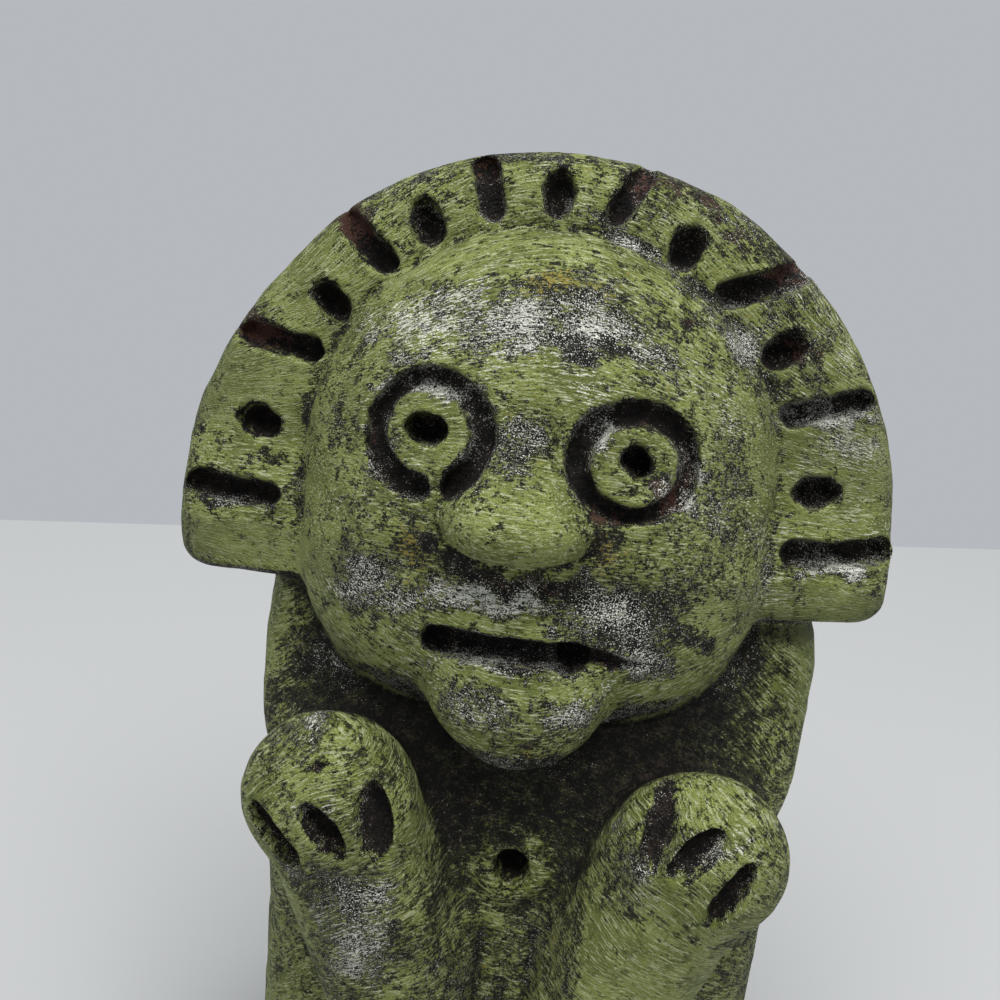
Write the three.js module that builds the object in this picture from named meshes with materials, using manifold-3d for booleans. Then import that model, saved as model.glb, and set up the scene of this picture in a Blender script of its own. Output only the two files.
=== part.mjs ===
// A squatting clay figurine, modelled by hand as one lump, pressed with a stick and fired.
// A half-round headdress stands behind a round face that leans back, with ringed eyes, a blob of a
// nose, a slit mouth and a ball of a chin. Below it short arms rest their hands on drawn-up knees,
// on either side of a pierced navel and a narrow loincloth. Feet and seat are flat underneath.
// Millimetres. The origin is the middle of the underside, +Z is up and the figure faces -Y.
import * as THREE from "three";
import { mergeVertices } from "three/addons/utils/BufferGeometryUtils.js";
import Module from "manifold-3d";

const wasm = await Module();
wasm.setup();

// Driving sizes of the whole figure
const figureHeight = 116; // floor to the crown of the headdress
const headdressRadius = 39.3;
const headdressThickness = 11;
const faceRadius = 25.5;
const faceRise = 17; // how far the face stands out of the headdress's middle plane
const torsoWidth = 60;
const torsoDepth = 32;
const headTilt = THREE.MathUtils.degToRad(16); // the face leans back
const headdressTurn = THREE.MathUtils.degToRad(1.6); // its left wing hangs lower

// Sizes of the tool marks
const slotWidth = 2.9;
const slotLength = 10;
const slotDepth = 2.8;
const pitWidth = 3.5;
const pitLength = 5.4;
const pitDepth = 2.6;
const pierceRadius = 1.9; // the stick that pierced pupils, mouth and navel
const pierceDepth = 5;

// Places worked out from the driving sizes
const halfWidth = torsoWidth / 2;
const rim = 0.36 * headdressThickness; // the rounding of the headdress's rim
const crown =
  (headdressRadius - rim) * Math.cos(headTilt) +
  rim +
  (headdressThickness / 2 - rim) * Math.sin(headTilt);
const headRise = figureHeight - crown;
const torsoMiddle = 0.094 * torsoDepth; // the torso's middle lies a little behind the origin
const chestFront = torsoMiddle - torsoDepth / 2;
const headFrame = new THREE.Matrix4()
  .makeRotationX(Math.PI / 2 - headTilt)
  .setPosition(0, 0.0625 * torsoDepth, headRise);

// A closed geometry as a solid, after the matrices have placed it, the last one first.
function solidOf(geometry, ...matrices) {
  const bare = new THREE.BufferGeometry();
  bare.setAttribute("position", geometry.getAttribute("position").clone());
  bare.setIndex(geometry.index);
  for (const matrix of matrices.reverse()) bare.applyMatrix4(matrix);
  const merged = mergeVertices(bare, 1e-4);
  const corners = [...merged.index.array];
  const triVerts = [];
  for (let i = 0; i < corners.length; i += 3) {
    const [a, b, c] = corners.slice(i, i + 3);
    if (a !== b && b !== c && c !== a) triVerts.push(a, b, c);
  }
  return new wasm.Manifold(
    new wasm.Mesh({
      numProp: 3,
      vertProperties: merged.getAttribute("position").array,
      triVerts: new Uint32Array(triVerts),
    }),
  );
}

// Moves each vertex to where shape(x, y, z) says.
function shaped(geometry, shape) {
  const position = geometry.getAttribute("position");
  for (let i = 0; i < position.count; i++)
    position.setXYZ(i, ...shape(position.getX(i), position.getY(i), position.getZ(i)));
  return geometry;
}

const at = (x, y, z) => new THREE.Matrix4().makeTranslation(x, y, z);
const turned = (angle) => new THREE.Matrix4().makeRotationZ(angle);
const facing = new THREE.Matrix4().makeRotationX(Math.PI / 2); // turns a frame's third axis to -Y

// A ball with three half-axes. around is its number of sides.
function ellipsoid(x, y, z, around = 14) {
  return new THREE.SphereGeometry(1, around, Math.round(around * 0.6)).scale(x, y, z);
}

// A round limb between two points, thicker or thinner towards its end, with round ends.
function limb(from, to, fromRadius, toRadius, around = 14) {
  const axis = new THREE.Vector3().subVectors(to, from);
  const length = axis.length();
  const steps = 3;
  const profile = [];
  for (let i = 0; i <= steps; i++) {
    const angle = (i / steps) * (Math.PI / 2);
    profile.push(new THREE.Vector2(fromRadius * Math.sin(angle), -fromRadius * Math.cos(angle)));
  }
  for (let i = 0; i <= steps; i++) {
    const angle = (i / steps) * (Math.PI / 2);
    profile.push(new THREE.Vector2(toRadius * Math.cos(angle), length + toRadius * Math.sin(angle)));
  }
  profile[0].x = 0;
  profile[profile.length - 1].x = 0;
  const turn = new THREE.Quaternion().setFromUnitVectors(
    new THREE.Vector3(0, 1, 0),
    axis.normalize(),
  );
  return new THREE.LatheGeometry(profile, around).applyQuaternion(turn).translate(from.x, from.y, from.z);
}

// A soft hill, 1 at its middle and gone two widths away.
const hill = (x, y) => Math.exp(-x * x - y * y);

// The headdress: a half-round slab with two short wings, its rim and corners rounded. The rim is a
// little flat towards the upper left.
const headdressFrame = headFrame
  .clone()
  .multiply(at(-0.025 * headdressRadius, 0, 0))
  .multiply(turned(headdressTurn));

function headdress() {
  const wingDrop = 0.23 * headdressRadius; // how far the wings hang below the middle
  const corner = 0.15 * headdressRadius;
  const reach = Math.sqrt((headdressRadius - corner) ** 2 - (wingDrop - corner) ** 2);
  const turn = Math.atan2(corner - wingDrop, reach);
  const outline = [];
  const arc = (x, y, radius, start, end, steps, flat = 0) => {
    for (let i = 0; i < steps; i++) {
      const angle = start + ((end - start) * i) / steps;
      const far = radius - flat * hill((angle - 2.5) / 0.4, 0);
      outline.push(new THREE.Vector2(x + far * Math.cos(angle), y + far * Math.sin(angle)));
    }
  };
  arc(reach, corner - wingDrop, corner, -Math.PI / 2, turn, 4);
  arc(0, 0, headdressRadius, turn, Math.PI - turn, 30, 0.028 * headdressRadius);
  arc(-reach, corner - wingDrop, corner, Math.PI - turn, 1.5 * Math.PI, 4);
  outline.push(new THREE.Vector2(-reach, -wingDrop));
  const slab = new THREE.ExtrudeGeometry(new THREE.Shape(outline), {
    depth: headdressThickness - 2 * rim,
    bevelThickness: rim,
    bevelSize: rim,
    bevelOffset: -rim,
    bevelSegments: 3,
  });
  return solidOf(slab, headdressFrame, at(0, 0, rim - headdressThickness / 2));
}

// The face, in its own frame: across to the viewer's right, up the face, and out of it.
const faceMiddle = { across: -0.03 * faceRadius, up: 0.21 * faceRadius };
const faceBase = 0.36 * headdressThickness;
const jawRadius = 1.045 * faceRadius; // the face is a little longer below its middle

// How far out a point is, as a share of the face's outline: a circle above, squarer at the jaw.
function faceShare(across, up) {
  const x = Math.abs(across - faceMiddle.across) / faceRadius;
  const y = (up - faceMiddle.up) / (up < faceMiddle.up ? jawRadius : faceRadius);
  const squareness = 2 + 1.1 * THREE.MathUtils.smoothstep(-y, 0, 0.5);
  return (x ** squareness + Math.abs(y) ** squareness) ** (1 / squareness);
}

const eyes = [
  { across: -0.451 * faceRadius, up: 0.329 * faceRadius },
  { across: 0.349 * faceRadius, up: 0.31 * faceRadius },
];
const mouthUp = -0.492 * faceRadius;

// The modelling of the face: brows over the eyes, hollows between and under them, and a muzzle.
function relief(across, up) {
  const unit = faceRadius / 25;
  const [x, y] = [across / unit, up / unit];
  const brows = eyes.map((eye) => 1.5 * hill((x - eye.across / unit) / 8.5, (y - 11) / 8));
  const forehead = 1.1 * hill((x + 2) / 16, (y - 25) / 4) - 0.9 * hill((x + 1) / 13, (y - 20.5) / 2.4);
  const bridge = -1.6 * hill((x + 1) / 3.2, (y - 9) / 4.5);
  const smile = -1.5 * hill(x / 17, (y + 6.6 - 0.006 * x * x) / 3.2);
  const muzzle = 3 * hill((x + 1) / 10, (y + 14) / 6.5);
  const cheeks = 0.9 * hill((x + 17) / 6, (y + 2) / 5) + 0.9 * hill((x - 14) / 6, (y + 1.5) / 5);
  return unit * (brows[0] + brows[1] + forehead + bridge + smile + muzzle + cheeks);
}

// The face's height over the headdress's middle plane.
function faceHeight(across, up) {
  const share = Math.min(1, faceShare(across, up));
  const dome = Math.sqrt(1 - share * share);
  return faceBase + (faceRise - faceBase) * dome + relief(across, up) * (1 - share ** 4);
}

// The frame of a spot on the face: its own plane lies along the surface.
function onFace(across, up, sunk = 0) {
  const step = 1.5;
  const slopeAcross = (faceHeight(across + step, up) - faceHeight(across - step, up)) / (2 * step);
  const slopeUp = (faceHeight(across, up + step) - faceHeight(across, up - step)) / (2 * step);
  const out = new THREE.Vector3(-slopeAcross, -slopeUp, 1).normalize();
  const turn = new THREE.Quaternion().setFromUnitVectors(new THREE.Vector3(0, 0, 1), out);
  return new THREE.Matrix4()
    .makeRotationFromQuaternion(turn)
    .setPosition(across, up, faceHeight(across, up) - sunk);
}

// The head: the face in front, the back of the skull behind the headdress.
function head() {
  const rings = 11;
  const skullDepth = 1.5 * headdressThickness;
  const profile = [];
  for (let i = 0; i <= 4; i++) {
    const angle = (i / 5) * (Math.PI / 2);
    profile.push(new THREE.Vector2(Math.sin(angle), -Math.cos(angle)));
  }
  for (let i = 0; i <= rings; i++) {
    const share = 1 - (i / rings) ** 1.5;
    profile.push(new THREE.Vector2(share, Math.sqrt(1 - share * share)));
  }
  const ball = new THREE.LatheGeometry(profile, 40).rotateX(Math.PI / 2);
  shaped(ball, (x, y, z) => {
    const right = x * faceRadius;
    const rise = y * (y < 0 ? jawRadius : faceRadius);
    const round = Math.hypot(x, y);
    const spread =
      round > 0 ? round / faceShare(faceMiddle.across + right, faceMiddle.up + rise) : 1;
    const across = faceMiddle.across + spread * right;
    const up = faceMiddle.up + spread * rise;
    return [across, up, z >= 0 ? faceHeight(across, up) : faceBase + skullDepth * z];
  });
  return solidOf(ball, headFrame);
}

// The nose: a pear-shaped blob, narrow between the eyes and flattened underneath.
function nose() {
  const [width, height, rise] = [0.305, 0.26, 0.3].map((share) => share * faceRadius);
  const blob = shaped(ellipsoid(1, 1, 1, 16), (x, y, z) => [
    width * x * (1 - 0.35 * Math.max(0, y)),
    height * y * (y < 0 ? 0.62 : 1),
    rise * z * (1 - 0.3 * Math.max(0, y)),
  ]);
  const [across, up] = [-0.075 * faceRadius, 0.01 * faceRadius];
  return solidOf(blob, headFrame, at(across, up, faceHeight(across, up) - 0.06 * faceRadius));
}

function chin() {
  const ball = ellipsoid(0.375 * faceRadius, 0.35 * faceRadius, 0.29 * faceRadius, 16);
  return solidOf(ball, headFrame, at(-0.02 * faceRadius, -0.675 * faceRadius, 0.4 * faceRadius));
}

// The stick's marks on the headdress: slots that run out over the rim, with a pit between each two.
// Bearings are degrees round the face, from the viewer's left to the right. A lean turns a slot in
// its place, and a reach is the pit's distance from the middle as a share of the radius.
const slotBearings = [181, 152, 128, 105, 81, 53, 28, -1];
const slotLeans = [-2, 14, 5, 0, -9, -26, -10, 8];
const pitBearings = [167, 140, 117, 93, 68, 41, 12];
const pitReaches = [0.83, 0.83, 0.86, 0.88, 0.83, 0.79, 0.75];
const markFront = headdressThickness / 2;

function headdressMarks() {
  const bearing = (degrees) => turned(THREE.MathUtils.degToRad(degrees));
  const slots = slotBearings.map((degrees, i) => {
    const slot = new THREE.CapsuleGeometry(slotWidth / 2, slotLength - slotWidth, 3, 8)
      .rotateZ(Math.PI / 2)
      .scale(1, 1, (2 * slotDepth) / slotWidth);
    const middle = at(0.86 * headdressRadius, 0, markFront);
    return solidOf(slot, headFrame, bearing(degrees), middle, bearing(slotLeans[i]));
  });
  const pits = pitBearings.map((degrees, i) => {
    const pit = ellipsoid(pitLength / 2, pitWidth / 2, pitDepth, 9);
    const middle = at(pitReaches[i] * headdressRadius, 0, markFront);
    return solidOf(pit, headFrame, bearing(degrees), middle);
  });
  return [...slots, ...pits];
}

// Each eye: a flat pellet in a deep round groove, pierced in its middle.
const pelletRadius = 0.165 * faceRadius;
const grooveWidth = 0.116 * faceRadius;

function pellets() {
  return eyes.map((eye) =>
    solidOf(
      ellipsoid(pelletRadius, pelletRadius, 0.08 * faceRadius, 14),
      headFrame,
      onFace(eye.across, eye.up, 0.03 * faceRadius),
    ),
  );
}

function eyeMarks() {
  return eyes.flatMap((eye) => {
    const groove = new THREE.TorusGeometry(pelletRadius + grooveWidth / 2, grooveWidth / 2, 6, 20);
    const spot = onFace(eye.across, eye.up, 0.02 * faceRadius);
    return [solidOf(groove.scale(1, 1, 1.6), headFrame, spot), pierced(headFrame, spot)];
  });
}

// A hole pressed with the stick, along the frame's third axis.
function pierced(...frames) {
  const hole = new THREE.CapsuleGeometry(pierceRadius, 2 * pierceDepth, 2, 10).rotateX(Math.PI / 2);
  return solidOf(hole, ...frames);
}

// The mouth: a slit, a hole at one end of it, and a scratch that tapers away beyond the hole.
function mouthMarks() {
  const [left, right] = [-0.42 * faceRadius, 0.19 * faceRadius];
  const slitWidth = 0.118 * faceRadius;
  const slit = new THREE.CapsuleGeometry(slitWidth / 2, right - left - slitWidth, 3, 8)
    .rotateZ(Math.PI / 2)
    .scale(1, 1, 2.8);
  const scratch = new THREE.ConeGeometry(0.03 * faceRadius, 0.3 * faceRadius, 8)
    .rotateZ(-Math.PI / 2)
    .scale(1, 1, 1.6);
  const spot = (across) => onFace(across, mouthUp);
  return [
    solidOf(slit, headFrame, onFace((left + right) / 2, mouthUp, 0.04 * faceRadius)),
    pierced(headFrame, spot(right)),
    solidOf(scratch, headFrame, spot(0.37 * faceRadius)),
  ];
}

const bodyShift = 0.03 * halfWidth; // the body sits a little to the side of the face

// The torso: an upright block with round corners, closing in to the neck and hollow under the chin.
function torso() {
  const profile = [
    [0, 0], [0.93, 0], [0.98, 0.03], [1, 0.1], [1, 0.35], [1, 0.6],
    [0.98, 0.74], [0.92, 0.82], [0.78, 0.89], [0.5, 0.95], [0, 0.98],
  ].map(([share, rise]) => new THREE.Vector2(share, rise * headRise));
  const block = new THREE.LatheGeometry(profile, 36).rotateX(Math.PI / 2);
  const squareness = 2.6;
  shaped(block, (x, y, z) => {
    const round = Math.hypot(x, y);
    const square = (Math.abs(x) ** squareness + Math.abs(y) ** squareness) ** (1 / squareness);
    const scale = round > 0 ? round / square : 1;
    const underChin = y < 0 ? hill(x / 0.74, (z / headRise - 0.8) / 0.11) : 0;
    return [
      bodyShift + x * scale * halfWidth,
      torsoMiddle + (y * scale * 0.5 + 0.17 * underChin) * torsoDepth,
      z,
    ];
  });
  return solidOf(block);
}

// Belly, navel ring and loincloth, down the middle of the front
const navelRise = 0.545 * headRise;
const bellyFront = chestFront - 0.07 * torsoDepth;
const bellyDepth = 0.3 * torsoDepth;

function bellyAndLoincloth() {
  const belly = ellipsoid(0.6 * halfWidth, bellyDepth, 0.41 * headRise, 18);
  const ring = new THREE.TorusGeometry(1.35 * pierceRadius, 0.5 * pierceRadius, 6, 14);
  const cloth = limb(
    new THREE.Vector3(1.5 * bodyShift, chestFront, 0.45 * headRise),
    new THREE.Vector3(1.5 * bodyShift, chestFront - 0.03 * torsoDepth, 0.02 * headRise),
    0.11 * halfWidth,
    0.14 * halfWidth,
    12,
  );
  return [
    solidOf(belly, at(bodyShift, bellyFront + bellyDepth, 0.37 * headRise)),
    solidOf(ring, at(bodyShift, bellyFront, navelRise), facing),
    solidOf(cloth),
  ];
}

const navelMark = () => pierced(at(bodyShift, bellyFront, navelRise), facing);

// Arms, hands, legs and feet. The hand on the viewer's right sits a little lower than the other.
const handWidth = 0.66 * halfWidth;
const handDepth = 0.26 * torsoDepth;
const handFront = chestFront - 0.14 * torsoDepth;
const handRises = { [-1]: 0.66, [1]: 0.635 };
const toeRise = 0.05 * headRise;

// A point on one side of the body, from shares of its half width, depth and height.
function sidePoint(side, across, front, rise) {
  return new THREE.Vector3(
    bodyShift + side * across * halfWidth,
    chestFront + front * torsoDepth,
    rise * headRise,
  );
}

function limbs(side) {
  const point = (...shares) => sidePoint(side, ...shares);
  const shoulder = point(0.8, 0.5, 0.84);
  const elbow = point(0.82, 0.36, 0.62);
  const wrist = point(0.66, 0.04, handRises[side]);
  const knee = point(0.58, -0.1, 0.575);
  const calf = point(0.37, -0.06, 0.36);
  const ankle = point(0.31, -0.02, 0.1);
  const hand = ellipsoid(handWidth / 2, handDepth, 0.12 * headRise);
  const foot = ellipsoid(0.27 * halfWidth, 0.3 * torsoDepth, 0.09 * headRise);
  return [
    solidOf(limb(shoulder, elbow, 0.23 * halfWidth, 0.2 * halfWidth)),
    solidOf(limb(elbow, wrist, 0.2 * halfWidth, 0.18 * halfWidth)),
    solidOf(limb(knee, calf, 0.29 * halfWidth, 0.28 * halfWidth)),
    solidOf(limb(calf, ankle, 0.28 * halfWidth, 0.23 * halfWidth)),
    solidOf(hand, at(...point(0.64, 0, handRises[side]).setY(handFront))),
    solidOf(foot, at(...point(0.31, -0.14, 0.045))),
  ];
}

// Three grooves part the fingers of each hand. They run down and inwards from the knuckles.
const fingers = {
  [-1]: { rises: [0.025, 0.015, -0.01], leans: [19, 37, 43] },
  [1]: { rises: [0.07, 0.05, -0.005], leans: [-12, -42, -25] },
};
const fingerSpread = 0.155 * halfWidth;

function fingerMarks(side) {
  const { rises, leans } = fingers[side];
  return rises.map((rise, i) => {
    const groove = ellipsoid(0.056 * halfWidth, 0.11 * halfWidth, 0.135 * halfWidth, 8);
    const outward = (i - 1) * fingerSpread;
    const middle = sidePoint(side, 0.63, 0, handRises[side] + rise);
    const share = outward / (handWidth / 2);
    middle.x += side * outward;
    middle.y = handFront - handDepth * Math.sqrt(1 - share * share);
    const lean = new THREE.Matrix4().makeRotationY(-THREE.MathUtils.degToRad(leans[i]));
    return solidOf(groove, at(...middle), lean);
  });
}

// Three shallow cuts part the toes.
function toeMarks(side) {
  return [-1, 0, 1].map((place) => {
    const cut = ellipsoid(0.028 * halfWidth, 0.08 * torsoDepth, 0.05 * headRise, 8);
    const middle = sidePoint(side, 0.31 + 0.12 * place, -0.42 + 0.03 * place ** 2, 0);
    return solidOf(cut, at(...middle.setZ(toeRise)));
  });
}

const lump = wasm.Manifold.union([
  torso(),
  headdress(),
  head(),
  nose(),
  chin(),
  ...pellets(),
  ...bellyAndLoincloth(),
  ...limbs(-1),
  ...limbs(1),
]);
const marks = wasm.Manifold.union([
  ...headdressMarks(),
  ...eyeMarks(),
  ...mouthMarks(),
  navelMark(),
  ...fingerMarks(-1),
  ...fingerMarks(1),
  ...toeMarks(-1),
  ...toeMarks(1),
  solidOf(new THREE.BoxGeometry(4 * torsoWidth, 4 * torsoWidth, torsoWidth), at(0, 0, -torsoWidth / 2)),
]);
const made = lump.subtract(marks).getMesh();

const geometry = new THREE.BufferGeometry()
  .setAttribute("position", new THREE.BufferAttribute(new Float32Array(made.vertProperties), 3))
  .setIndex(new THREE.BufferAttribute(new Uint32Array(made.triVerts), 1));
geometry.computeVertexNormals();

const paintedClay = new THREE.MeshStandardMaterial({ color: 0x76823f, roughness: 0.85, metalness: 0 });
const figurine = new THREE.Mesh(geometry, paintedClay);
figurine.name = "figurine";

const part = new THREE.Group();
part.add(figurine);

export default part;
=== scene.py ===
"""A squatting clay figurine, looked at from a little above.

The clay forms are built in millimetres, melted into one skin, pressed with the stick and painted.
"""

import bpy
import numpy as np
from mathutils import Matrix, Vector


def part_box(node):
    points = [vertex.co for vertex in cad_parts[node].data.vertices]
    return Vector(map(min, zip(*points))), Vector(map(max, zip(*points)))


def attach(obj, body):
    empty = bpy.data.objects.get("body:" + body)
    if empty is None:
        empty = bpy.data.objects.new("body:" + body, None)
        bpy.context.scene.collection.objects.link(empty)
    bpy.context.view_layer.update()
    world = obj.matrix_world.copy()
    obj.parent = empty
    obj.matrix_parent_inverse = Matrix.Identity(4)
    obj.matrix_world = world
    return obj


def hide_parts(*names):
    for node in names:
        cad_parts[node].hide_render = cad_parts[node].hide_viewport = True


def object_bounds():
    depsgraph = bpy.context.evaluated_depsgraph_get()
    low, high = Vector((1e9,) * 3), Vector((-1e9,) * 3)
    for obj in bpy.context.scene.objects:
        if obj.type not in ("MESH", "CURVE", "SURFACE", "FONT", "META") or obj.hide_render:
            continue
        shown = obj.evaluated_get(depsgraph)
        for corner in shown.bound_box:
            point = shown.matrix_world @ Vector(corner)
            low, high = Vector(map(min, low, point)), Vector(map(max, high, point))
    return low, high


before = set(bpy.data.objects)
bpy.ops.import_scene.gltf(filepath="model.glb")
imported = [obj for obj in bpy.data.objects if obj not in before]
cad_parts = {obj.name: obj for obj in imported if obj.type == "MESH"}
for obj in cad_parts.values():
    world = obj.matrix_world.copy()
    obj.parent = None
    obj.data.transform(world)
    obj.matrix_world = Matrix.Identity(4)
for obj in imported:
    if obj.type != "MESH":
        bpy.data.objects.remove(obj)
cad_low, cad_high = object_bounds()

# The torso: an upright block of clay with round corners that closes in to the neck, with the belly
# laid on its front. It is the first form of the lump, and the other forms are pressed onto it.
drawn_height = 115.87
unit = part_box("figurine")[1][2] / drawn_height  # metres to a millimetre of the drawing
head_rise = 77.64
half_width = 30.0
half_depth = 16.0
body_shift = 0.9
torso_middle = 3.0
torso_squareness = 2.6


def skin(rings):
    """Points and faces of a closed skin. Each row of the grid is a ring, and each point of a ring is
    tied to its neighbours and to the same step of the next ring. The first and last rings close on
    their mean points."""
    rows, around, _ = rings.shape
    points = np.vstack([rings.reshape(-1, 3), rings[0].mean(0), rings[-1].mean(0)])
    steps = np.arange(around)
    following = (steps + 1) % around
    starts = np.arange(rows - 1)[:, None] * around
    quads = np.stack(
        [starts + steps, starts + following, starts + around + following, starts + around + steps], -1
    ).reshape(-1, 4)
    first, last = rows * around, rows * around + 1
    final = (rows - 1) * around
    caps = [[first, b, a] for a, b in zip(steps.tolist(), following.tolist())]
    caps += [[last, final + a, final + b] for a, b in zip(steps.tolist(), following.tolist())]
    return points, quads.tolist() + caps


def circle(around, squareness=2.0):
    """Points of a unit ring: (cos a, sin a) over the sum of their powers to the root, so that 2 gives
    a circle and more gives a rounder or squarer box."""
    turn = np.linspace(0, 2 * np.pi, around, endpoint=False)
    x, y = np.cos(turn), np.sin(turn)
    reach = (np.abs(x) ** squareness + np.abs(y) ** squareness) ** (-1 / squareness)
    return x * reach, y * reach


def unit_ball(around=72, rows=40):
    """Rings of a ball: cos b cos a, cos b sin a and sin b at longitude a and latitude b."""
    x, y = circle(around)
    latitude = np.linspace(-np.pi / 2, np.pi / 2, rows + 2)[1:-1, None]
    return np.cos(latitude) * x, np.cos(latitude) * y, np.sin(latitude) * np.ones(around)


def ball(centre, halves):
    """An ellipsoid: its centre plus each half axis times the point of a unit ball."""
    return skin(np.stack([c + h * r for c, h, r in zip(centre, halves, unit_ball())], -1))


def hill(x, y):
    """A soft hill, e to the minus (x squared plus y squared)."""
    return np.exp(-(x**2) - y**2)


def torso():
    """Rings of one squarish outline, half width and half depth times a share that goes in straight
    steps from the seat to the neck. A hill is pressed into the chest, under the chin."""
    rises = np.linspace(0, 0.98, 60)
    shares = np.interp(
        rises,
        [0, 0.03, 0.1, 0.6, 0.74, 0.82, 0.89, 0.95, 0.98],
        [0.95, 0.985, 1, 1, 0.98, 0.92, 0.78, 0.5, 0.1],
    )[:, None]
    x, y = circle(120, torso_squareness)
    across = body_shift + half_width * shares * x
    rise = head_rise * rises[:, None] * np.ones(len(x))
    under_chin = 5.5 * hill((across - 1) / 22, (rise - 62) / 8.5) * (y < 0)
    return skin(np.stack([across, torso_middle + half_depth * shares * y + under_chin, rise], -1))


belly_front = -15.2
belly_depth = 9.6
belly_rise = 28.7
belly = ball((body_shift, belly_front + belly_depth, belly_rise), (18.0, belly_depth, 31.8))
lump = [torso(), belly]

# Arms, hands, legs and feet: rolls and balls of the same clay. The arms lie along the flanks and the
# hands rest on the drawn-up knees. A narrow roll down the middle is the loincloth.


def roll(start, middle, end, radii, around=48, rows=36):
    """A tube along the curve (1-t)^2 start + 2t(1-t) middle + t^2 end, whose radius goes evenly
    through the three radii, with a half ball at each end."""
    start, middle, end = (np.asarray(p, float) for p in (start, middle, end))
    t = np.linspace(0, 1, rows)[:, None]
    path = (1 - t) ** 2 * start + 2 * t * (1 - t) * middle + t**2 * end
    along = 2 * (1 - t) * (middle - start) + 2 * t * (end - middle)
    along /= np.linalg.norm(along, axis=1)[:, None]
    radius = np.interp(t[:, 0], [0, 0.5, 1], radii)[:, None]
    bow = np.linspace(np.pi / 2, 0, 9)[1:-1, None]
    path = np.vstack(
        [
            path[0] - along[0] * radius[0] * np.sin(bow),
            path,
            path[-1] + along[-1] * radius[-1] * np.sin(bow[::-1]),
        ]
    )
    radius = np.vstack([radius[0] * np.cos(bow), radius, radius[-1] * np.cos(bow[::-1])])
    along = np.vstack([np.repeat(along[:1], len(bow), 0), along, np.repeat(along[-1:], len(bow), 0)])
    side = np.cross(along, [0.0, 1.0, 0.0])
    side /= np.linalg.norm(side, axis=1)[:, None]
    front = np.cross(side, along)
    x, y = circle(around)
    rings = path[:, None] + radius[:, None] * (
        side[:, None] * x[None, :, None] + front[:, None] * y[None, :, None]
    )
    return skin(rings)


hand_rises = {-1: 51.2, 1: 49.3}
hand_front = -17.5
knee_across, knee_rise = 17.4, 45
foot_across, foot_rise = 9.3, 3.5
cloth_across = 1.4


def limbs(side, palm):
    """The arm as a roll from shoulder over elbow to palm, the hand as a ball, the leg as a roll from
    knee to ankle and the foot as a ball, all mirrored about the body's middle by the side."""

    def place(across, y, z):
        return (body_shift + side * across, y, z)

    knee = place(knee_across, -16.0, knee_rise)
    ankle = place(foot_across, -13.8, 7.8)
    return [
        roll(place(24, 3, 65), place(26.5, -1, 47), place(20, -11.5, palm), (6.9, 6.4, 5.6)),
        ball(place(19.5, hand_front, palm - 0.3), (10.1, 8.3, 9.4)),
        roll(knee, place(10.0, -15.6, 27), ankle, (8.9, 8.6, 7)),
        ball(place(foot_across, -17.5, foot_rise), (8.1, 9.6, 7.0)),
    ]


for side, palm in hand_rises.items():
    lump += limbs(side, palm)
cloth = [(cloth_across, y, z) for y, z in ((-13.0, 35), (-13.6, 18), (-14.0, 0))]
lump.append(roll(*cloth, (3.3, 3.7, 4.2)))

# The headdress: a half-round slab of clay with two short wings, its rim and corners rounded by
# thumb. It is set a little turned, so that the wing on the viewer's left hangs lower.
tilt = np.radians(16)
across_axis = np.array([1.0, 0.0, 0.0])
up_axis = np.array([0.0, np.sin(tilt), np.cos(tilt)])
out_axis = np.array([0.0, -np.cos(tilt), np.sin(tilt)])
head_middle = np.array([0.0, 2.0, head_rise])


def from_head(across, up, out):
    """The point across, up and out from the headdress's middle, along the leaning head's axes."""
    across, up, out = np.broadcast_arrays(across, up, out)
    return (
        head_middle
        + across[..., None] * across_axis
        + up[..., None] * up_axis
        + out[..., None] * out_axis
    )


slab_across = -0.98
slab_radius = 39.1
slab_half = 5.5
wing_drop = 9.0
slab_turn = np.radians(1.6)
rim = 3.96


def headdress():
    """Polar rings round the middle. The reach at bearing a is the smaller of the radius and the wing
    line's distance, eased where they meet, less an inset that follows a quarter circle over the rim."""
    bearing = np.linspace(0, 2 * np.pi, 240, endpoint=False)
    dip = np.maximum(-np.sin(bearing), 1e-3)
    flats = 1.1 * hill((bearing - 2.5) / 0.4, 0) + 0.5 * hill((bearing - 0.17) / 0.2, 0)
    reach = ((slab_radius - flats) ** -14.0 + (wing_drop / dip) ** -14.0) ** (-1 / 14)
    bow = np.linspace(0, np.pi / 2, 8)
    flat = np.linspace(0.05, 1, 12)[:-1]
    inset = rim * (1 - np.sin(bow))
    rise = slab_half - rim * (1 - np.cos(bow))
    even = np.ones(len(flat))
    shares = np.concatenate([flat, np.ones(2 * len(bow)), flat[::-1]])[:, None]
    insets = np.concatenate([rim * even, inset, inset[::-1], rim * even])[:, None]
    rises = np.concatenate([slab_half * even, rise, -rise[::-1], -slab_half * even])
    radius = shares * (reach - insets)
    turned = bearing + slab_turn
    across = slab_across + radius * np.cos(turned)
    return skin(from_head(across, radius * np.sin(turned), rises[:, None]))


lump.append(headdress())

# The head: a round face in front of the slab and the back of the skull behind it. Nose and chin are
# balls pressed on, and brows, cheeks and lips are pushed up with the fingers.
face_radius = 25.5
jaw_radius = 26.6
face_across, face_up = -0.77, 5.36
face_base = 3.96
face_depth = 13.04
skull_depth = 16.5
nose_across, nose_up = -1.9, 0.2
chin_across, chin_up, chin_out = -0.5, -17.2, 10.3
chin_half = 9.6
eye_places = {-1: (-11.5, 8.4), 1: (8.9, 7.9)}
mouth_up = -12.9


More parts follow.
